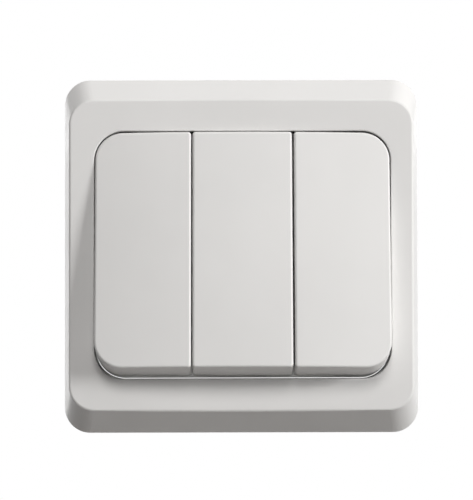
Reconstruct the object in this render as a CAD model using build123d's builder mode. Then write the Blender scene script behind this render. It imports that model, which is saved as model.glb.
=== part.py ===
"""Three-gang flush light switch for a round wall box, built from separate pieces.

The origin is the centre of the frame's back, on the wall plane. X runs to the right, Z runs up
and the front faces -Y, so pieces with a positive Y lie inside the wall box. All sizes are in
millimetres. At rest the tops of the three keys are pressed in.
"""

import os
from math import cos, radians, sin, tan

from build123d import *

# Frame: a moulded square bezel with wide slopes at top and bottom
frame_size = 82.0
frame_height = 8.5
frame_lip = 0.8
frame_corner_radius = 5.9
side_bevel = 1.45
end_bevel = 5.2
face_corner_radius = 5.7
face_bow = 0.3
frame_edge_radius = 0.6
frame_wall = 2.0
rib_thickness = 1.2
rib_setback = 2.5
rib_pitch = 24.0

# Window in the frame, a little to the right of its centre, with a collar behind it
side_border = 5.475
end_border = 7.35
window_shift = 0.3
window_corner_radius = 6.8
window_edge_radius = 0.3
collar_wall = 1.5
ledge_width = 1.35
ledge_thickness = 0.6

# Keys: crowned rocker caps with flared ends and a hollow back
key_tilt = 7.0
key_top_proud = 1.5
key_reach = 10.5
key_wall = 1.6
key_skirt = 8.9
key_flare = 6.7
key_crown_radius = 280.0
key_bow_radius = 2600.0
key_corner_radius = 6.4
key_inner_radius = 0.7
key_edge_radius = 0.55
key_notch = 3.4
key_end_clearance = 0.3
row_clearance = 0.25
left_gap = 0.3
right_gap = 0.45
middle_key_width = 22.8

# Cradles that carry the keys and turn in the cover
cradle_width = 8.4
cradle_gap = 0.4
bar_length = 16.0
bar_thickness = 2.4
bar_height = 3.6
hub_radius = 3.0
neck_width = 5.0
trunnion_radius = 1.6
trunnion_length = 2.0
running_clearance = 0.05
boss_radius = 3.2
boss_length = 9.0
bore_radius = 2.0
bore_floor = 1.0

# Clip of each key on its cradle
seat_width = 7.0
seat_length = 12.0
seat_wall = 1.2
hook_width = 6.0
hook_thickness = 1.2
hook_barb = 0.6
hook_lead = 0.7

# Spring and plunger inside each cradle
plunger_clearance = 0.1
plunger_back = 6.0
plunger_guide = 3.6
plunger_neck_radius = 1.3
plunger_taper = 0.8
plunger_tip = 13.7
spring_wire = 0.4
spring_pitch = 0.9
spring_clearance = 0.2
spring_seat = 0.03

# Contact rockers, contacts and the common busbar
contact_tilt = 7.0
tip_gap = 0.3
rocker_width = 6.0
rocker_length = 22.0
rocker_thickness = 0.8
rocker_corner = 1.2
button_arm = 9.5
button_radius = 1.5
button_height = 0.8
contact_gap = 0.12
knife_gap = 0.03
knife_width = 1.0
knife_edge = 0.2
knife_slope = 0.8
strip_thickness = 1.0
strip_width = 5.0
fixed_button_height = 0.6
fixed_inner_end = 7.5
busbar_width = 6.0
busbar_margin = 3.4
busbar_web = 5.5

# Mechanism base, cover and terminals
base_height = 32.0
base_corner_radius = 7.0
base_side_wall = 3.4
base_end_wall = 2.6
base_rear_wall = 1.8
base_edge_radius = 0.8
cavity_side_gap = 0.8
cavity_corner_radius = 2.0
floor_half_height = 9.4
divider_thickness = 1.2
divider_front = 4.0
slot_clearance = 0.1
clamp_width = 6.0
clamp_depth = 5.0
clamp_length = 5.4
clamp_setback = 1.0
clamp_clearance = 0.1
wire_window = 3.6
wire_depth = 4.0
terminal_shank_radius = 1.45
terminal_shank_length = 3.0
terminal_head_radius = 2.3
terminal_head_height = 1.8
cover_thickness = 1.2
ear_thickness = 2.4
ear_radius = 3.2
ear_gap = 0.3
opening_half_height = 4.6

# Mounting strap and fasteners
strap_thickness = 0.7
strap_fit = 0.05
strap_slit = 0.15
strap_wing = 20.0
strap_under_collar = 0.9
strap_corner_radius = 2.5
box_screw_spacing = 60.0
box_slot_length = 6.0
box_slot_width = 4.2
lug_radius = 2.8
lug_hole_radius = 1.7
lug_clearance = 0.4
frame_screw_inset = 5.6
frame_screw_radius = 1.45
frame_head_radius = 2.4
frame_head_height = 1.6
screw_clearance = 0.05
cover_screw_radius = 0.9
cover_screw_length = 8.0
cover_head_radius = 1.6
cover_head_height = 1.3
cover_screw_z = 8.5
driver_slot_width = 0.7
driver_slot_depth = 0.7

# Sizes worked out from those above
face_width = frame_size - 2 * side_bevel
face_height = frame_size - 2 * end_bevel
window_width = face_width - 2 * side_border
window_height = face_height - 2 * end_border
pocket_top = window_height / 2 - ledge_width
flare = tan(radians(key_flare))
tilt_cos = cos(radians(key_tilt))
tilt_sin = sin(radians(key_tilt))
key_half = window_height / 2 - key_end_clearance - key_skirt * flare
skirt_back = key_reach - key_skirt
pivot_y = key_reach * tilt_cos - key_half * tilt_sin - key_top_proud - frame_height
row_width = window_width - 2 * row_clearance
outer_key_width = (row_width - middle_key_width - left_gap - right_gap) / 2
middle_left = window_shift - (right_gap - left_gap + middle_key_width) / 2
middle_right = middle_left + middle_key_width
cradle_pitch = middle_right + right_gap + key_wall + cradle_gap + cradle_width / 2
cavity_width = 2 * (cradle_pitch + cradle_width / 2 + cavity_side_gap)
cavity_height = base_height - 2 * base_end_wall
base_width = cavity_width + 2 * base_side_wall
bar_front = bar_height + bar_thickness
knife_y = pivot_y + plunger_tip + tip_gap + rocker_thickness
contact_sin = sin(radians(contact_tilt))
contact_cos = cos(radians(contact_tilt))
button_travel = (button_arm + button_radius) * contact_sin + button_height * contact_cos
fixed_face_y = knife_y + button_travel + contact_gap
strip_front_y = fixed_face_y + fixed_button_height
clamp_front_y = strip_front_y + strip_thickness
clamp_back_y = clamp_front_y + clamp_depth
floor_y = clamp_back_y - strip_thickness / 2
base_depth = clamp_back_y + base_rear_wall
frame_screw_x = window_width / 2 - frame_screw_inset
frame_screw_z = base_height / 2 + lug_clearance + lug_radius
lug_end_z = frame_screw_z + lug_radius
lug_skirt = skirt_back + key_notch * (1 - lug_end_z / key_half)
lug_front_y = pivot_y - lug_skirt * tilt_cos + lug_end_z * tilt_sin + lug_clearance
lug_thickness = -strap_thickness - lug_front_y
clamp_outer = base_height / 2 - clamp_setback
clamp_middle = clamp_outer - clamp_length / 2

SIDES = ("left", "middle", "right")
cradle_x = {"left": -cradle_pitch, "middle": 0.0, "right": cradle_pitch}
key_span = {
    "left": (middle_left - left_gap - outer_key_width, middle_left - left_gap),
    "middle": (middle_left, middle_right),
    "right": (middle_right + right_gap, middle_right + right_gap + outer_key_width),
}
key_radii = {
    "left": (key_corner_radius, key_inner_radius),
    "middle": (key_inner_radius, key_inner_radius),
    "right": (key_inner_radius, key_corner_radius),
}


def wall(y):
    """Plane parallel to the wall at depth y, looking out to the front."""
    return Plane.XZ.offset(-y)


def key_plane(x=0.0):
    """Plane on the hinge line that tilts with the keys at rest and looks out of their faces."""
    return Plane(origin=(x, pivot_y, 0), x_dir=(1, 0, 0), z_dir=(0, -tilt_cos, tilt_sin))


def key_side(x):
    """Plane across the keys at x: its first axis runs up a key, its second runs out of the face."""
    return Plane(origin=(x, pivot_y, 0), x_dir=key_plane().y_dir, z_dir=(1, 0, 0))


def key_section(x=0.0):
    """Plane level with the hinge line: its first axis is X, its second runs out of the face."""
    return Plane(origin=(x, pivot_y, 0), x_dir=(1, 0, 0), z_dir=-key_plane().y_dir)


def contact_plane(x):
    """Plane on the knife edge that tilts with the contact rockers at rest."""
    return Plane(origin=(x, knife_y, 0), x_dir=(1, 0, 0), z_dir=(0, -contact_cos, -contact_sin))


def crown_drop(x):
    """How far the crowned key faces fall back at x from the middle of the switch."""
    return x**2 / (2 * key_crown_radius)


def save(builder, name):
    """Label a finished piece and write it to its own file."""
    builder.part.label = name
    export_step(builder.part, f"parts/{name}.step")


def bowed_rectangle(width, height, radius, bow):
    """Rounded rectangle whose top and bottom edges bow outwards by a small amount."""
    half_width = width / 2
    half_height = height / 2
    end = half_height - bow
    with BuildSketch() as outline:
        with BuildLine():
            ThreePointArc((-half_width, end), (0, half_height), (half_width, end))
            Line((half_width, end), (half_width, -end))
            ThreePointArc((half_width, -end), (0, -half_height), (-half_width, -end))
            Line((-half_width, -end), (-half_width, end))
        make_face()
        fillet(outline.vertices(), radius)
    return outline.sketch


def slotted_head(radius, height):
    """Cheese head with a driver slot, standing on the active plane."""
    Cylinder(radius, height, align=(Align.CENTER, Align.CENTER, Align.MIN))
    with Locations((0, 0, height)):
        Box(
            3 * radius,
            driver_slot_width,
            2 * driver_slot_depth,
            mode=Mode.SUBTRACT,
        )


def make_frame():
    """Bezel: sloped shell, ribbed behind, with the window collar, its top ledge and two screw lugs."""
    with BuildPart() as hollow:
        with BuildSketch(wall(0)):
            inner_size = frame_size - 2 * frame_wall
            add(bowed_rectangle(inner_size, inner_size, frame_corner_radius - frame_wall, face_bow))
        with BuildSketch(wall(frame_wall - frame_height)):
            inner_width = face_width - 2 * frame_wall
            inner_height = face_height - 2 * frame_wall
            add(bowed_rectangle(inner_width, inner_height, face_corner_radius - frame_wall, face_bow))
        loft(ruled=True)
        with BuildSketch(wall(0)):
            with Locations((window_shift, 0)):
                RectangleRounded(
                    window_width + 2 * collar_wall,
                    window_height + 2 * collar_wall,
                    window_corner_radius + collar_wall,
                )
        extrude(amount=frame_height, mode=Mode.SUBTRACT)
        with BuildSketch(wall(-rib_setback)):
            with GridLocations(rib_pitch, 0, 3, 1):
                Rectangle(rib_thickness, frame_size)
            with GridLocations(0, rib_pitch, 1, 3):
                Rectangle(frame_size, rib_thickness)
        extrude(amount=frame_height, mode=Mode.SUBTRACT)

    with BuildPart() as frame:
        with BuildSketch(wall(0)):
            RectangleRounded(frame_size, frame_size, frame_corner_radius)
        extrude(amount=frame_lip)
        with BuildSketch(wall(-frame_lip)):
            RectangleRounded(frame_size, frame_size, frame_corner_radius)
        with BuildSketch(wall(-frame_height)):
            add(bowed_rectangle(face_width, face_height, face_corner_radius, face_bow))
        loft(ruled=True)
        fillet(frame.faces().sort_by(Axis.Y)[0].edges(), frame_edge_radius)
        add(hollow.part, mode=Mode.SUBTRACT)
        with BuildSketch(wall(0)):
            with Locations((window_shift, 0)):
                RectangleRounded(window_width, window_height, window_corner_radius)
        extrude(amount=frame_height, mode=Mode.SUBTRACT)
        fillet(frame.faces().sort_by(Axis.Y)[0].inner_wires()[0].edges(), window_edge_radius)
        pocket_bottom = -strap_wing - strap_fit
        with BuildSketch(wall(0)):
            with Locations((0, (pocket_top + pocket_bottom) / 2)):
                Rectangle(frame_size - 2 * frame_wall, pocket_top - pocket_bottom)
        extrude(amount=strap_thickness, mode=Mode.SUBTRACT)
        with BuildSketch(wall(0)):
            with Locations((window_shift, 0)):
                RectangleRounded(
                    window_width + collar_wall,
                    window_height + collar_wall,
                    window_corner_radius + collar_wall / 2,
                )
            with Locations((0, pocket_top - frame_size / 2)):
                Rectangle(frame_size, frame_size, mode=Mode.SUBTRACT)
        extrude(amount=ledge_thickness)
        for side in (-1, 1):
            lug_end = window_width / 2 + collar_wall / 2 + side * window_shift
            with BuildSketch(wall(-strap_thickness)):
                with Locations((side * frame_screw_x, -side * frame_screw_z)):
                    Circle(lug_radius)
                with Locations((side * (frame_screw_x + lug_end) / 2, -side * frame_screw_z)):
                    Rectangle(lug_end - frame_screw_x, 2 * lug_radius)
                with Locations((side * frame_screw_x, -side * frame_screw_z)):
                    Circle(lug_hole_radius, mode=Mode.SUBTRACT)
            extrude(amount=lug_thickness)
    save(frame, "frame")


def key_form(left, right, radii, inset, drop):
    """Form of one key between two X positions, drawn in by inset and lowered by drop."""
    heights = (skirt_back - 2 * drop, key_reach - drop)
    with BuildPart() as form:
        for height in heights:
            half_length = key_half + (key_reach - height) * flare - inset
            with BuildSketch(key_plane().offset(height)) as outline:
                start = left + inset
                end = right - inset
                middle = (start + end) / 2
                bow = [half_length - x**2 / (2 * key_bow_radius) for x in (start, middle, end)]
                with BuildLine():
                    ThreePointArc((start, bow[0]), (middle, bow[1]), (end, bow[2]))
                    Line((end, bow[2]), (end, -bow[2]))
                    ThreePointArc((end, -bow[2]), (middle, -bow[1]), (start, -bow[0]))
                    Line((start, -bow[0]), (start, bow[0]))
                make_face()
                fillet(outline.vertices().group_by(Axis.X)[0], max(radii[0] - inset, key_inner_radius))
                fillet(outline.vertices().group_by(Axis.X)[-1], max(radii[1] - inset, key_inner_radius))
        loft(ruled=True)
        reach = window_width / 2
        with BuildSketch(key_section()):
            with BuildLine():
                ThreePointArc(
                    (-reach, key_reach - drop - crown_drop(reach)),
                    (0, key_reach - drop),
                    (reach, key_reach - drop - crown_drop(reach)),
                )
                Polyline(
                    (reach, key_reach - drop - crown_drop(reach)),
                    (reach, -key_reach),
                    (-reach, -key_reach),
                    (-reach, key_reach - drop - crown_drop(reach)),
                )
            make_face()
        extrude(amount=window_height, both=True, mode=Mode.INTERSECT)
    return form.part


def make_key(side):
    """Rocker key: a thin crowned cap with a notched skirt, a seat and two hooks for its cradle."""
    left, right = key_span[side]
    x = cradle_x[side]
    outward = Axis((0, pivot_y, 0), tuple(key_plane().z_dir))
    rib_top = key_reach - crown_drop(x) - key_wall / 2
    hook_tip = bar_height - hook_lead
    bar_end = bar_length / 2
    with BuildPart() as key:
        add(key_form(left, right, key_radii[side], 0, 0))
        fillet(key.faces().sort_by(outward)[-1].edges(), key_edge_radius)
        add(key_form(left, right, key_radii[side], key_wall, key_wall), mode=Mode.SUBTRACT)
        with BuildSketch(key_side(left - key_wall)):
            with BuildLine():
                Polyline(
                    (-key_half, skirt_back),
                    (0, skirt_back + key_notch),
                    (key_half, skirt_back),
                    close=True,
                )
            make_face()
        extrude(amount=right - left + 2 * key_wall, mode=Mode.SUBTRACT)
        with BuildSketch(key_plane(x).offset(bar_front)):
            Rectangle(seat_width, seat_length)
            Rectangle(seat_width - 2 * seat_wall, seat_length - 2 * seat_wall, mode=Mode.SUBTRACT)
        extrude(amount=rib_top - bar_front)
        with BuildSketch(key_plane(x).offset(hook_tip)):
            with GridLocations(0, bar_length + hook_thickness, 1, 2):
                Rectangle(hook_width, hook_thickness)
        extrude(amount=rib_top - hook_tip)
        with BuildSketch(key_plane(x).offset(hook_tip)):
            with GridLocations(0, 2 * bar_end - hook_barb, 1, 2):
                Rectangle(hook_width, hook_barb)
        extrude(amount=bar_height - hook_tip)
    save(key, f"key_{side}")


def make_cradle(side):
    """Cradle: clip bar, hub with two trunnions, and a hollow boss for the spring and plunger."""
    x = cradle_x[side]
    half_width = cradle_width / 2
    with BuildPart() as cradle:
        with BuildSketch(key_side(x - half_width)):
            Circle(hub_radius)
            with Locations((0, bar_front / 2)):
                Rectangle(neck_width, bar_front)
            with Locations((0, bar_height + bar_thickness / 2)):
                Rectangle(bar_length, bar_thickness)
        extrude(amount=cradle_width)
        with BuildSketch(key_side(x - half_width - trunnion_length)):
            Circle(trunnion_radius)
        extrude(amount=cradle_width + 2 * trunnion_length)
        with BuildSketch(key_plane(x)):
            Circle(boss_radius)
        extrude(amount=-boss_length)
        with BuildSketch(key_plane(x).offset(-boss_length)):
            Circle(bore_radius)
        extrude(amount=boss_length - bore_floor, mode=Mode.SUBTRACT)
    save(cradle, f"cradle_{side}")


def make_plunger(side):
    """Plunger: a guided shoulder with a slimmer round-nosed tip."""
    x = cradle_x[side]
    radius = bore_radius - plunger_clearance
    shoulder = plunger_back + plunger_guide
    nose = plunger_tip - plunger_neck_radius
    with BuildPart() as plunger:
        with BuildSketch(key_section(x)):
            with BuildLine():
                Polyline(
                    (0, -plunger_tip),
                    (0, -plunger_back),
                    (radius, -plunger_back),
                    (radius, -shoulder),
                    (plunger_neck_radius, -shoulder - plunger_taper),
                    (plunger_neck_radius, -nose),
                )
                RadiusArc((plunger_neck_radius, -nose), (0, -plunger_tip), plunger_neck_radius)
            make_face()
        revolve(axis=Axis((x, pivot_y, 0), tuple(key_plane().z_dir)))
    save(plunger, f"plunger_{side}")


def make_spring(side):
    """Coil spring between the blind end of the bore and the plunger."""
    axis_plane = key_plane(cradle_x[side])
    margin = spring_wire / 2 + spring_seat
    start = axis_plane.offset(margin - plunger_back).origin
    with BuildPart() as spring:
        with BuildLine() as coil:
            Helix(
                pitch=spring_pitch,
                height=plunger_back - bore_floor - 2 * margin,
                radius=bore_radius - spring_clearance - spring_wire / 2,
                center=start,
                direction=axis_plane.z_dir,
            )
        with BuildSketch(Plane(origin=coil.line @ 0, z_dir=coil.line % 0)):
            RegularPolygon(spring_wire / 2, 6)
        sweep(is_frenet=True)
    save(spring, f"spring_{side}")


def make_contact_rocker(side):
    """Moving contact: a brass seesaw with a contact button under its lower end."""
    x = cradle_x[side]
    with BuildPart() as rocker:
        with BuildSketch(contact_plane(x)):
            RectangleRounded(rocker_width, rocker_length, rocker_corner)
        extrude(amount=rocker_thickness)
        with BuildSketch(contact_plane(x)):
            with Locations((0, -button_arm)):
                Circle(button_radius)
        extrude(amount=-button_height)
    save(rocker, f"contact_rocker_{side}")


def make_fixed_contact(side):
    """Fixed contact: a brass strip on its terminal clamp with a contact button."""
    x = cradle_x[side]
    length = clamp_outer - fixed_inner_end
    with BuildPart() as contact:
        with BuildSketch(wall(clamp_front_y)):
            with Locations((x, -(clamp_outer + fixed_inner_end) / 2)):
                Rectangle(strip_width, length)
        extrude(amount=strip_thickness)
        with BuildSketch(wall(strip_front_y)):
            with Locations((x, -button_arm)):
                Circle(button_radius)
        extrude(amount=fixed_button_height)
    save(contact, f"fixed_contact_{side}")


def make_busbar():
    """Common busbar: a floor strip with three knife edges and a bent arm to the common clamp."""
    length = 2 * cradle_pitch + rocker_width
    with BuildPart() as busbar:
        with BuildSketch(wall(floor_y)):
            Rectangle(length, busbar_width)
            with Locations((0, (busbar_web + strip_thickness) / 2)):
                Rectangle(strip_width, busbar_web + strip_thickness)
        extrude(amount=strip_thickness)
        with BuildSketch(wall(floor_y)):
            with Locations((0, busbar_web + strip_thickness / 2)):
                Rectangle(strip_width, strip_thickness)
        extrude(amount=floor_y - strip_front_y)
        with BuildSketch(wall(clamp_front_y)):
            with Locations((0, (busbar_web + clamp_outer) / 2)):
                Rectangle(strip_width, clamp_outer - busbar_web)
        extrude(amount=strip_thickness)
        tip = floor_y - knife_y - knife_gap
        for x in cradle_x.values():
            with BuildSketch(Plane(origin=(x - rocker_width / 2, floor_y, 0), x_dir=(0, 0, 1), z_dir=(1, 0, 0))):
                with BuildLine():
                    Polyline(
                        (-knife_width / 2, 0),
                        (-knife_width / 2, tip - knife_slope),
                        (-knife_edge / 2, tip),
                        (knife_edge / 2, tip),
                        (knife_width / 2, tip - knife_slope),
                        (knife_width / 2, 0),
                        close=True,
                    )
                make_face()
            extrude(amount=rocker_width)
    save(busbar, "common_busbar")


def clamp_places():
    """X, Z and side of each terminal clamp: three outputs below and the common above."""
    places = [(x, -clamp_middle, -1) for x in cradle_x.values()]
    places.append((0.0, clamp_middle, 1))
    return places


def make_base():
    """Mechanism base: a deep tray with three chambers, clamp pockets and wire windows."""
    pocket = clamp_width + 2 * clamp_clearance
    pocket_length = clamp_length + clamp_setback + clamp_clearance
    with BuildPart() as base:
        with BuildSketch(wall(base_depth)):
            RectangleRounded(base_width, base_height, base_corner_radius)
        extrude(amount=base_depth)
        fillet(base.faces().sort_by(Axis.Y)[-1].edges(), base_edge_radius)
        with BuildSketch(wall(0)):
            RectangleRounded(cavity_width, cavity_height, cavity_corner_radius)
        extrude(amount=-clamp_front_y, mode=Mode.SUBTRACT)
        with BuildSketch(wall(0)):
            Rectangle(cavity_width, 2 * floor_half_height)
        extrude(amount=-floor_y, mode=Mode.SUBTRACT)
        with BuildSketch(wall(floor_y)):
            with GridLocations(cradle_pitch, 0, 2, 1):
                Rectangle(divider_thickness, cavity_height)
        extrude(amount=floor_y - divider_front)
        with BuildSketch(wall(floor_y)):
            Rectangle(cavity_width, busbar_width + 2 * slot_clearance)
        extrude(amount=strip_thickness + slot_clearance, mode=Mode.SUBTRACT)
        for x, z, side in clamp_places():
            with BuildSketch(wall(clamp_back_y)):
                with Locations((x, z + side * (pocket_length - clamp_length) / 2)):
                    Rectangle(pocket, pocket_length)
            extrude(amount=clamp_depth + strip_thickness, mode=Mode.SUBTRACT)
            with BuildSketch(wall(base_depth)):
                with Locations((x, z)):
                    Rectangle(wire_window, wire_window)
            extrude(amount=base_rear_wall, mode=Mode.SUBTRACT)
        with BuildSketch(wall(0)):
            with GridLocations(cavity_width + base_side_wall, 2 * cover_screw_z, 2, 2):
                Circle(cover_screw_radius + screw_clearance)
        extrude(amount=-cover_screw_length, mode=Mode.SUBTRACT)
    save(base, "mechanism_base")


def make_cover():
    """Mechanism cover: a plate on the strap with a pair of bearing ears for every cradle."""
    ear_offset = cradle_width / 2 + ear_gap
    front_y = -strap_thickness - cover_thickness
    with BuildPart() as cover:
        with BuildSketch(wall(-strap_thickness)):
            RectangleRounded(base_width, base_height, base_corner_radius)
        extrude(amount=cover_thickness)
        for x in cradle_x.values():
            for start in (x - ear_offset - ear_thickness, x + ear_offset):
                with BuildSketch(Plane(origin=(start, pivot_y, 0), x_dir=(0, 0, 1), z_dir=(1, 0, 0))):
                    Circle(ear_radius)
                    with Locations((0, (pivot_y - front_y) / 2)):
                        Rectangle(2 * ear_radius, front_y - pivot_y)
                extrude(amount=ear_thickness)
        with BuildSketch(wall(ear_radius)):
            Rectangle(2 * base_width, 2 * base_height)
        extrude(amount=ear_radius + strap_thickness, mode=Mode.SUBTRACT)
        for x in cradle_x.values():
            with BuildSketch(wall(0)):
                with Locations((x, 0)):
                    Rectangle(2 * ear_offset, 2 * opening_half_height)
            extrude(amount=strap_thickness + cover_thickness, mode=Mode.SUBTRACT)
            reach = cradle_width / 2 + trunnion_length + ear_gap
            with BuildSketch(Plane(origin=(x - reach, pivot_y, 0), x_dir=(0, 0, 1), z_dir=(1, 0, 0))):
                Circle(trunnion_radius + running_clearance)
            extrude(amount=2 * reach, mode=Mode.SUBTRACT)
        with BuildSketch(wall(0)):
            with GridLocations(cavity_width + base_side_wall, 2 * cover_screw_z, 2, 2):
                Circle(cover_screw_radius + screw_clearance)
        extrude(amount=strap_thickness + cover_thickness, mode=Mode.SUBTRACT)
    save(cover, "mechanism_cover")


def make_strap():
    """Mounting strap: a steel plate with wings under the collar and a tongue in the window's lower end."""
    width = window_width + 2 * strap_under_collar
    strap_top = pocket_top - strap_fit
    tongue = window_height / 2 - strap_slit
    with BuildPart() as strap:
        with BuildSketch(wall(0)):
            with Locations((0, (strap_top - strap_wing) / 2)):
                RectangleRounded(width, strap_top + strap_wing, strap_corner_radius)
            with Locations((window_shift, -tongue / 2)):
                RectangleRounded(
                    window_width - 2 * strap_slit,
                    tongue,
                    window_corner_radius - strap_slit,
                )
            RectangleRounded(cavity_width, cavity_height, cavity_corner_radius, mode=Mode.SUBTRACT)
            with GridLocations(box_screw_spacing, 0, 2, 1):
                SlotOverall(box_slot_length, box_slot_width, mode=Mode.SUBTRACT)
            with GridLocations(cavity_width + base_side_wall, 2 * cover_screw_z, 2, 2):
                Circle(cover_screw_radius + screw_clearance, mode=Mode.SUBTRACT)
            with Locations((frame_screw_x, -frame_screw_z), (-frame_screw_x, frame_screw_z)):
                Circle(frame_screw_radius + screw_clearance, mode=Mode.SUBTRACT)
        extrude(amount=strap_thickness)
    save(strap, "mounting_strap")


def make_frame_screws():
    """Two screws that hold the frame's lugs to the strap."""
    head_y = -strap_thickness - lug_thickness
    with BuildPart() as screws:
        for side in (-1, 1):
            with BuildSketch(wall(head_y)):
                with Locations((side * frame_screw_x, -side * frame_screw_z)):
                    Circle(frame_screw_radius)
            extrude(amount=head_y)
            with Locations(wall(head_y).shift_origin((side * frame_screw_x, head_y, -side * frame_screw_z))):
                slotted_head(frame_head_radius, frame_head_height)
    save(screws, "frame_screws")


def make_cover_screws():
    """Four small screws that clamp the strap between the cover and the base."""
    head_y = -strap_thickness - cover_thickness
    spread_x = (cavity_width + base_side_wall) / 2
    with BuildPart() as screws:
        for x in (-spread_x, spread_x):
            for z in (-cover_screw_z, cover_screw_z):
                with BuildSketch(wall(head_y)):
                    with Locations((x, z)):
                        Circle(cover_screw_radius)
                extrude(amount=head_y - cover_screw_length + screw_clearance)
                with Locations(wall(head_y).shift_origin((x, head_y, z))):
                    slotted_head(cover_head_radius, cover_head_height)
    save(screws, "cover_screws")


def make_terminal_clamps():
    """Four brass clamps with a square wire tunnel and a tapped hole for the screw."""
    with BuildPart() as clamps:
        for x, z, side in clamp_places():
            with BuildSketch(wall(clamp_back_y)):
                with Locations((x, z)):
                    Rectangle(clamp_width, clamp_length)
            extrude(amount=clamp_depth)
            with BuildSketch(wall(clamp_back_y)):
                with Locations((x, z)):
                    Rectangle(wire_window, wire_window)
            extrude(amount=wire_depth, mode=Mode.SUBTRACT)
            middle_y = clamp_front_y + clamp_depth / 2
            with BuildSketch(Plane(origin=(x, middle_y, side * clamp_outer), z_dir=(0, 0, side))):
                Circle(terminal_shank_radius + screw_clearance)
            extrude(amount=-clamp_length / 2, mode=Mode.SUBTRACT)
    save(clamps, "terminal_clamps")


def make_terminal_screws():
    """Four clamp screws, reached from the top and bottom of the base."""
    with BuildPart() as screws:
        for x, _, side in clamp_places():
            middle_y = clamp_front_y + clamp_depth / 2
            seat = Plane(origin=(x, middle_y, side * clamp_outer), z_dir=(0, 0, side))
            with BuildSketch(seat):
                Circle(terminal_shank_radius)
            extrude(amount=-terminal_shank_length)
            with Locations(seat):
                slotted_head(terminal_head_radius, terminal_head_height)
    save(screws, "terminal_screws")


os.makedirs("parts", exist_ok=True)
make_frame()
for gang in SIDES:
    make_key(gang)
    make_cradle(gang)
    make_plunger(gang)
    make_spring(gang)
    make_contact_rocker(gang)
    make_fixed_contact(gang)
make_busbar()
make_base()
make_cover()
make_strap()
make_frame_screws()
make_cover_screws()
make_terminal_clamps()
make_terminal_screws()
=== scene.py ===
"""Looks of the three-gang light switch: moulded plastic, plated steel, brass and a plain studio.

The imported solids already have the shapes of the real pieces, so they are shown as they are and get
their finishes here. The mould grain and the drawn streaks of the metal are relief in the finishes.
"""

import math

import bmesh
import bpy
from mathutils import Matrix, Vector

bl_info = {
    "name": "Three-gang light switch",
    "version": (1, 0, 0),
    "blender": (4, 2, 0),
    "location": "3D View > Sidebar > Switch",
    "description": "Dresses the packed light switch and sets up its studio",
    "category": "Object",
}

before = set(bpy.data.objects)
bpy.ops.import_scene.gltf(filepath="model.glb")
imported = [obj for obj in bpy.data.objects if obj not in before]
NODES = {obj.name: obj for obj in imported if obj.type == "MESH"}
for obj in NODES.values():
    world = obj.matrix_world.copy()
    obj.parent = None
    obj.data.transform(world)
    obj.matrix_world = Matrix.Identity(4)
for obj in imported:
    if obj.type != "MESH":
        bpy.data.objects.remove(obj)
MM = 0.001
GANGS = ("left", "middle", "right")

# Noise of the finishes: cells per metre and detail
FLOW_NOISE = (45.0, 3.0)
SHEEN_NOISE = (160.0, 2.0)
GRAIN_NOISE = (2600.0, 2.0)
STAIN_NOISE = (120.0, 4.0)
STREAK_NOISE = (900.0, 3.0)
MOTTLE_NOISE = (12.0, 2.0)
NOISE_MIDDLE = (0.3, 0.7)
TONE_STOPS = (0.35, 0.65)

# Moulded plastic
PLASTIC_SPECULAR = 0.2
FLOW_SHADE = 0.975
SHEEN_SPREAD = 0.04

# Metal: its noise is stretched along the way in which it was rolled or stamped
STAIN_SHADE = 0.86
STREAK_SMOOTHER = 0.10
STREAK_ROUGHER = 0.12
STREAK_DEPTH = 0.003 * MM
EVEN = (1.0, 1.0, 1.0)
ALONG_X = (0.08, 1.0, 1.0)
ALONG_Z = (1.0, 1.0, 0.1)

# Studio
SENSOR_WIDTH = 36.0
CLIP_START = 0.01
HORIZON_BLEND = 0.15
FLOOR_HALF_SIZE = 0.6
FLOOR_SHADE = 0.98
FLOOR_ROUGHNESS = 0.8
# Softboxes: distance in metres, azimuth, elevation, size in metres, and the stage's power and tint
SOFTBOXES = {
    "Right softbox": (1.00, 62.0, 12.0, 0.30, "right_power", "main_tint"),
    "Front softbox": (1.10, 0.0, 35.0, 0.35, "front_power", "fill_tint"),
    "Top softbox": (0.40, 0.0, 80.0, 0.30, "top_power", "fill_tint"),
    "Left softbox": (0.40, -132.0, 0.0, 0.30, "left_power", "main_tint"),
    "Back softbox": (1.00, 180.0, 30.0, 0.90, "back_power", "main_tint"),
}


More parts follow.
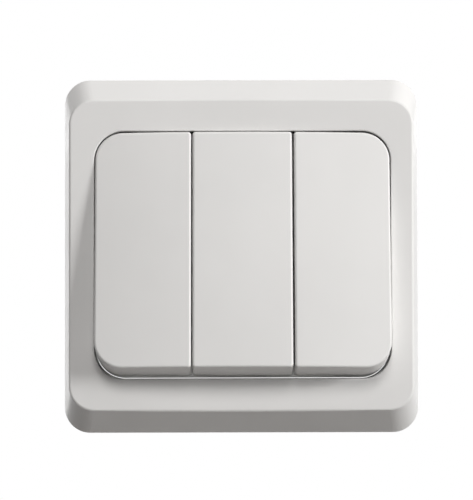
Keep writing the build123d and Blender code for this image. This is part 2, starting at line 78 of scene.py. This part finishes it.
class SwitchPlastics(bpy.types.PropertyGroup):
    """Colours and surface of the moulded plastics."""

    white: bpy.props.FloatVectorProperty(
        name="White",
        description="Colour of the frame and keys",
        subtype="COLOR",
        size=3,
        min=0.0,
        max=1.0,
        default=(0.80, 0.794, 0.783),
    )
    base_grey: bpy.props.FloatVectorProperty(
        name="Base grey",
        description="Colour of the mechanism's base",
        subtype="COLOR",
        size=3,
        min=0.0,
        max=1.0,
        default=(0.56, 0.54, 0.49),
    )
    cover_grey: bpy.props.FloatVectorProperty(
        name="Cover grey",
        description="Colour of the mechanism's cover",
        subtype="COLOR",
        size=3,
        min=0.0,
        max=1.0,
        default=(0.58, 0.57, 0.53),
    )
    cradle_grey: bpy.props.FloatVectorProperty(
        name="Cradle grey",
        description="Colour of the rocker cradles",
        subtype="COLOR",
        size=3,
        min=0.0,
        max=1.0,
        default=(0.36, 0.36, 0.35),
    )
    plunger_cream: bpy.props.FloatVectorProperty(
        name="Plunger cream",
        description="Colour of the plungers",
        subtype="COLOR",
        size=3,
        min=0.0,
        max=1.0,
        default=(0.66, 0.64, 0.55),
    )
    gloss_roughness: bpy.props.FloatProperty(
        name="Gloss roughness",
        description="Mean roughness of the white outer plastic",
        subtype="FACTOR",
        min=0.0,
        max=1.0,
        default=0.34,
    )
    inner_roughness: bpy.props.FloatProperty(
        name="Inner roughness",
        description="Mean roughness of the mechanism's plastics",
        subtype="FACTOR",
        min=0.0,
        max=1.0,
        default=0.55,
    )
    grain_depth: bpy.props.FloatProperty(
        name="Grain depth",
        description="Depth of the fine mould texture",
        subtype="DISTANCE",
        min=0.0,
        max=0.0005,
        precision=6,
        default=0.004 * MM,
    )


class SwitchMetals(bpy.types.PropertyGroup):
    """Colours and surface of the metal pieces."""

    zinc: bpy.props.FloatVectorProperty(
        name="Zinc",
        description="Colour of the plated strap and screws",
        subtype="COLOR",
        size=3,
        min=0.0,
        max=1.0,
        default=(0.56, 0.56, 0.54),
    )
    brass: bpy.props.FloatVectorProperty(
        name="Brass",
        description="Colour of the contacts, busbar and clamps",
        subtype="COLOR",
        size=3,
        min=0.0,
        max=1.0,
        default=(0.62, 0.44, 0.17),
    )
    spring_steel: bpy.props.FloatVectorProperty(
        name="Spring steel",
        description="Colour of the coil springs",
        subtype="COLOR",
        size=3,
        min=0.0,
        max=1.0,
        default=(0.42, 0.42, 0.42),
    )
    roughness: bpy.props.FloatProperty(
        name="Roughness",
        description="Mean roughness of the metal pieces",
        subtype="FACTOR",
        min=0.0,
        max=1.0,
        default=0.36,
    )


class SwitchStage(bpy.types.PropertyGroup):
    """Camera, lamps and floor of the studio."""

    camera_place: bpy.props.FloatVectorProperty(
        name="Camera place",
        description="Where the camera stands, in front and a little below the middle",
        subtype="XYZ",
        unit="LENGTH",
        size=3,
        default=(-3.34 * MM, -530.0 * MM, -19.08 * MM),
    )
    camera_turn: bpy.props.FloatVectorProperty(
        name="Camera turn",
        description="Pitch, roll and yaw of the camera away from straight ahead",
        subtype="EULER",
        unit="ROTATION",
        size=3,
        default=(math.radians(2.212), math.radians(0.131), math.radians(-0.243)),
    )
    lens: bpy.props.FloatProperty(
        name="Lens",
        description="Focal length on a 36 mm sensor, in millimetres",
        unit="CAMERA",
        min=10.0,
        max=500.0,
        default=163.82,
    )
    right_power: bpy.props.FloatProperty(
        name="Right softbox",
        description="Power of the main softbox on the right, which rakes across the face",
        unit="POWER",
        min=0.0,
        default=8.1,
    )
    front_power: bpy.props.FloatProperty(
        name="Front softbox",
        description="Power of the softbox above the camera",
        unit="POWER",
        min=0.0,
        default=5.4,
    )
    top_power: bpy.props.FloatProperty(
        name="Top softbox",
        description="Power of the softbox above and a little in front of the switch",
        unit="POWER",
        min=0.0,
        default=0.30,
    )
    left_power: bpy.props.FloatProperty(
        name="Left softbox",
        description="Power of the softbox on the left, behind the switch, for its edge",
        unit="POWER",
        min=0.0,
        default=0.56,
    )
    back_power: bpy.props.FloatProperty(
        name="Back softbox",
        description="Power of the softbox above and behind, which lights the back",
        unit="POWER",
        min=0.0,
        default=4.0,
    )
    main_tint: bpy.props.FloatVectorProperty(
        name="Main tint",
        description="Colour of the right, left and back softboxes",
        subtype="COLOR",
        size=3,
        min=0.0,
        max=1.0,
        default=(1.0, 0.998, 0.993),
    )
    fill_tint: bpy.props.FloatVectorProperty(
        name="Fill tint",
        description="Colour of the warmer front and top softboxes",
        subtype="COLOR",
        size=3,
        min=0.0,
        max=1.0,
        default=(1.0, 0.984, 0.974),
    )
    front_ambient: bpy.props.FloatProperty(
        name="Front ambient",
        description="Strength of the even light from the room in front",
        min=0.0,
        max=2.0,
        default=0.0,
    )
    back_ambient: bpy.props.FloatProperty(
        name="Back ambient",
        description="Strength of the even light from the white backdrop behind",
        min=0.0,
        max=2.0,
        default=0.1,
    )
    floor_drop: bpy.props.FloatProperty(
        name="Floor drop",
        description="How far the floor lies below the middle of the switch",
        subtype="DISTANCE",
        min=0.05,
        default=0.66,
    )
    floor_colour: bpy.props.FloatVectorProperty(
        name="Floor colour",
        description="Colour of the pale floor",
        subtype="COLOR",
        size=3,
        min=0.0,
        max=1.0,
        default=(0.80, 0.775, 0.757),
    )


def new_material(name):
    """New material, its node tree and its principled shader."""
    material = bpy.data.materials.new(name)
    material.use_nodes = True
    tree = material.node_tree
    shader = tree.nodes["Principled BSDF"]
    return material, tree, shader


def object_noise(tree, scale, detail, stretch=EVEN):
    """Noise on object coordinates, optionally stretched along an axis."""
    coordinates = tree.nodes.new("ShaderNodeTexCoord")
    mapping = tree.nodes.new("ShaderNodeMapping")
    mapping.inputs["Scale"].default_value = stretch
    noise = tree.nodes.new("ShaderNodeTexNoise")
    noise.inputs["Scale"].default_value = scale
    noise.inputs["Detail"].default_value = detail
    tree.links.new(coordinates.outputs["Object"], mapping.inputs["Vector"])
    tree.links.new(mapping.outputs["Vector"], noise.inputs["Vector"])
    return noise.outputs["Fac"]


def spread(tree, value, low, high):
    """Maps a noise value from its usual middle range to low and high."""
    node = tree.nodes.new("ShaderNodeMapRange")
    node.inputs["From Min"].default_value, node.inputs["From Max"].default_value = NOISE_MIDDLE
    node.inputs["To Min"].default_value = low
    node.inputs["To Max"].default_value = high
    tree.links.new(value, node.inputs["Value"])
    return node.outputs["Result"]


def two_tone(tree, value, colour, shade):
    """Colour that drifts between the full tone and a slightly darker one."""
    ramp = tree.nodes.new("ShaderNodeValToRGB")
    dark, full = ramp.color_ramp.elements
    dark.position, full.position = TONE_STOPS
    dark.color = (*(c * shade for c in colour), 1.0)
    full.color = (*colour, 1.0)
    tree.links.new(value, ramp.inputs["Fac"])
    return ramp.outputs["Color"]


def add_bump(tree, shader, height, depth):
    """Surface relief of the given depth in metres."""
    bump = tree.nodes.new("ShaderNodeBump")
    bump.inputs["Strength"].default_value = 1.0
    bump.inputs["Distance"].default_value = depth
    tree.links.new(height, bump.inputs["Height"])
    tree.links.new(bump.outputs["Normal"], shader.inputs["Normal"])


def moulded_plastic(name, colour, roughness, grain_depth):
    """Injection-moulded plastic: faint flow in the colour, patchy sheen and a fine mould grain."""
    material, tree, shader = new_material(name)
    shader.inputs["Specular IOR Level"].default_value = PLASTIC_SPECULAR
    flow = object_noise(tree, *FLOW_NOISE)
    tree.links.new(two_tone(tree, flow, colour, FLOW_SHADE), shader.inputs["Base Color"])
    sheen = object_noise(tree, *SHEEN_NOISE)
    sheen_range = spread(tree, sheen, roughness - SHEEN_SPREAD, roughness + SHEEN_SPREAD)
    tree.links.new(sheen_range, shader.inputs["Roughness"])
    grain = object_noise(tree, *GRAIN_NOISE)
    add_bump(tree, shader, grain, grain_depth)
    return material


def plated_metal(name, colour, roughness, stretch):
    """Plated or stamped metal: drawn streaks in the sheen and a faint stain in the colour."""
    material, tree, shader = new_material(name)
    shader.inputs["Metallic"].default_value = 1.0
    stain = object_noise(tree, *STAIN_NOISE)
    tree.links.new(two_tone(tree, stain, colour, STAIN_SHADE), shader.inputs["Base Color"])
    streaks = object_noise(tree, *STREAK_NOISE, stretch)
    sheen_range = spread(tree, streaks, roughness - STREAK_SMOOTHER, roughness + STREAK_ROUGHER)
    tree.links.new(sheen_range, shader.inputs["Roughness"])
    add_bump(tree, shader, streaks, STREAK_DEPTH)
    return material


def gang_names(piece):
    """Names of a piece that each gang has."""
    return [f"{piece}_{gang}" for gang in GANGS]


def dress(material, *names):
    """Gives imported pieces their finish."""
    for name in names:
        slots = NODES[name].data.materials
        slots.clear()
        slots.append(material)


class SWITCH_OT_outer_plastic(bpy.types.Operator):
    """Finish the frame and the three keys in white moulded plastic"""

    bl_idname = "switch.outer_plastic"
    bl_label = "Frame and keys"

    def execute(self, context):
        look = context.scene.switch_plastics
        finish = (look.white, look.gloss_roughness, look.grain_depth)
        dress(moulded_plastic("Frame white", *finish), "frame")
        dress(moulded_plastic("Key white", *finish), *gang_names("key"))
        return {"FINISHED"}


class SWITCH_OT_inner_plastic(bpy.types.Operator):
    """Finish the mechanism's base, cover, cradles and plungers"""

    bl_idname = "switch.inner_plastic"
    bl_label = "Mechanism plastics"

    def execute(self, context):
        look = context.scene.switch_plastics
        rough = look.inner_roughness
        grain = 2 * look.grain_depth
        dress(moulded_plastic("Base plastic", look.base_grey, rough, grain), "mechanism_base")
        dress(moulded_plastic("Cover plastic", look.cover_grey, rough, grain), "mechanism_cover")
        cradle = moulded_plastic("Cradle plastic", look.cradle_grey, rough, grain)
        plunger = moulded_plastic("Plunger plastic", look.plunger_cream, rough, grain)
        dress(cradle, *gang_names("cradle"))
        dress(plunger, *gang_names("plunger"))
        return {"FINISHED"}


class SWITCH_OT_metalwork(bpy.types.Operator):
    """Finish the strap, screws, springs, contacts and clamps"""

    bl_idname = "switch.metalwork"
    bl_label = "Metalwork"

    def execute(self, context):
        look = context.scene.switch_metals
        rough = look.roughness
        dress(plated_metal("Plated strap", look.zinc, rough, ALONG_X), "mounting_strap")
        screw = plated_metal("Plated screws", look.zinc, rough, EVEN)
        dress(screw, "terminal_screws", "frame_screws", "cover_screws")
        spring = plated_metal("Spring wire", look.spring_steel, rough, EVEN)
        dress(spring, *gang_names("spring"))
        brass = plated_metal("Stamped brass", look.brass, rough, ALONG_Z)
        dress(brass, "common_busbar", "terminal_clamps")
        dress(brass, *gang_names("contact_rocker"), *gang_names("fixed_contact"))
        return {"FINISHED"}


def softbox(name, distance, azimuth, elevation, size, power, tint):
    """Square area lamp that faces the switch: azimuth 0 stands in front and 90 on the right."""
    turn, lift = math.radians(azimuth), math.radians(elevation)
    level = distance * math.cos(lift)
    place = Vector((level * math.sin(turn), -level * math.cos(turn), distance * math.sin(lift)))
    data = bpy.data.lights.new(name, "AREA")
    data.shape = "SQUARE"
    data.size = size
    data.energy = power
    data.color = tint
    lamp = bpy.data.objects.new(name, data)
    lamp.location = place
    lamp.rotation_euler = (-place).to_track_quat("-Z", "Y").to_euler()
    bpy.context.scene.collection.objects.link(lamp)


def white_surroundings(scene, front, back):
    """World that is white to the camera and in reflections, and gives a weak even light."""
    world = bpy.data.worlds.new("White surroundings")
    world.use_nodes = True
    scene.world = world
    tree = world.node_tree
    tree.nodes.clear()
    direction = tree.nodes.new("ShaderNodeTexCoord")
    split = tree.nodes.new("ShaderNodeSeparateXYZ")
    strength = tree.nodes.new("ShaderNodeMapRange")
    strength.inputs["From Min"].default_value = -HORIZON_BLEND
    strength.inputs["From Max"].default_value = HORIZON_BLEND
    strength.inputs["To Min"].default_value = front
    strength.inputs["To Max"].default_value = back
    even_light = tree.nodes.new("ShaderNodeBackground")
    white = tree.nodes.new("ShaderNodeBackground")
    white.inputs["Strength"].default_value = 1.0
    for background in (even_light, white):
        background.inputs["Color"].default_value = (1.0, 1.0, 1.0, 1.0)
    path = tree.nodes.new("ShaderNodeLightPath")
    seen = path.outputs["Is Camera Ray"]
    for ray in ("Is Glossy Ray", "Is Transmission Ray"):
        either = tree.nodes.new("ShaderNodeMath")
        either.operation = "MAXIMUM"
        tree.links.new(seen, either.inputs[0])
        tree.links.new(path.outputs[ray], either.inputs[1])
        seen = either.outputs[0]
    mix = tree.nodes.new("ShaderNodeMixShader")
    output = tree.nodes.new("ShaderNodeOutputWorld")
    tree.links.new(direction.outputs["Generated"], split.inputs[0])
    tree.links.new(split.outputs["Y"], strength.inputs["Value"])
    tree.links.new(strength.outputs["Result"], even_light.inputs["Strength"])
    tree.links.new(seen, mix.inputs["Fac"])
    tree.links.new(even_light.outputs[0], mix.inputs[1])
    tree.links.new(white.outputs[0], mix.inputs[2])
    tree.links.new(mix.outputs[0], output.inputs["Surface"])


def pale_floor(drop, colour):
    """Plain floor well below the switch."""
    mesh = bpy.data.meshes.new("Floor")
    shape = bmesh.new()
    bmesh.ops.create_grid(shape, x_segments=1, y_segments=1, size=FLOOR_HALF_SIZE)
    bmesh.ops.translate(shape, verts=shape.verts, vec=(0.0, 0.0, -drop))
    shape.to_mesh(mesh)
    shape.free()
    floor = bpy.data.objects.new("Floor", mesh)
    bpy.context.scene.collection.objects.link(floor)
    material, tree, shader = new_material("Pale floor")
    mottle = object_noise(tree, *MOTTLE_NOISE)
    tree.links.new(two_tone(tree, mottle, colour, FLOOR_SHADE), shader.inputs["Base Color"])
    shader.inputs["Roughness"].default_value = FLOOR_ROUGHNESS
    mesh.materials.append(material)


class SWITCH_OT_stage(bpy.types.Operator):
    """Set up the camera, softboxes, white surroundings and floor"""

    bl_idname = "switch.stage"
    bl_label = "Stage"

    def execute(self, context):
        scene = context.scene
        stage = scene.switch_stage
        data = bpy.data.cameras.new("Camera")
        data.lens = stage.lens
        data.sensor_width = SENSOR_WIDTH
        data.clip_start = CLIP_START
        camera = bpy.data.objects.new("Camera", data)
        pitch, roll, yaw = stage.camera_turn
        camera.matrix_world = (
            Matrix.Translation(stage.camera_place)
            @ Matrix.Rotation(yaw, 4, "Z")
            @ Matrix.Rotation(pitch, 4, "X")
            @ Matrix.Rotation(roll, 4, "Y")
            @ Matrix.Rotation(math.radians(90.0), 4, "X")
        )
        scene.collection.objects.link(camera)
        scene.camera = camera
        for name, (*place, power, tint) in SOFTBOXES.items():
            softbox(name, *place, getattr(stage, power), getattr(stage, tint))
        white_surroundings(scene, stage.front_ambient, stage.back_ambient)
        pale_floor(stage.floor_drop, stage.floor_colour)
        scene.view_settings.view_transform = "Standard"
        return {"FINISHED"}


class SWITCH_PT_panel(bpy.types.Panel):
    """Lists the steps that dress the switch"""

    bl_idname = "SWITCH_PT_panel"
    bl_label = "Three-gang switch"
    bl_space_type = "VIEW_3D"
    bl_region_type = "UI"
    bl_category = "Switch"

    def draw(self, context):
        column = self.layout.column()
        for step in STEPS:
            column.operator(step.bl_idname)
        for group in (
            context.scene.switch_plastics,
            context.scene.switch_metals,
            context.scene.switch_stage,
        ):
            for key in group.__annotations__:
                column.prop(group, key)


STEPS = (
    SWITCH_OT_outer_plastic,
    SWITCH_OT_inner_plastic,
    SWITCH_OT_metalwork,
    SWITCH_OT_stage,
)
CLASSES = (SwitchPlastics, SwitchMetals, SwitchStage, *STEPS, SWITCH_PT_panel)


def register():
    """Registers the classes and hangs their properties on the scene."""
    for cls in CLASSES:
        bpy.utils.register_class(cls)
    bpy.types.Scene.switch_plastics = bpy.props.PointerProperty(type=SwitchPlastics)
    bpy.types.Scene.switch_metals = bpy.props.PointerProperty(type=SwitchMetals)
    bpy.types.Scene.switch_stage = bpy.props.PointerProperty(type=SwitchStage)


def unregister():
    """Takes back what register set up."""
    del bpy.types.Scene.switch_stage
    del bpy.types.Scene.switch_metals
    del bpy.types.Scene.switch_plastics
    for cls in reversed(CLASSES):
        bpy.utils.unregister_class(cls)


def main():
    """Registers the add-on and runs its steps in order."""
    register()
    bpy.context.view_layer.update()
    bpy.ops.switch.outer_plastic()
    bpy.ops.switch.inner_plastic()
    bpy.ops.switch.metalwork()
    bpy.ops.switch.stage()


if __name__ == "__main__":
    main()
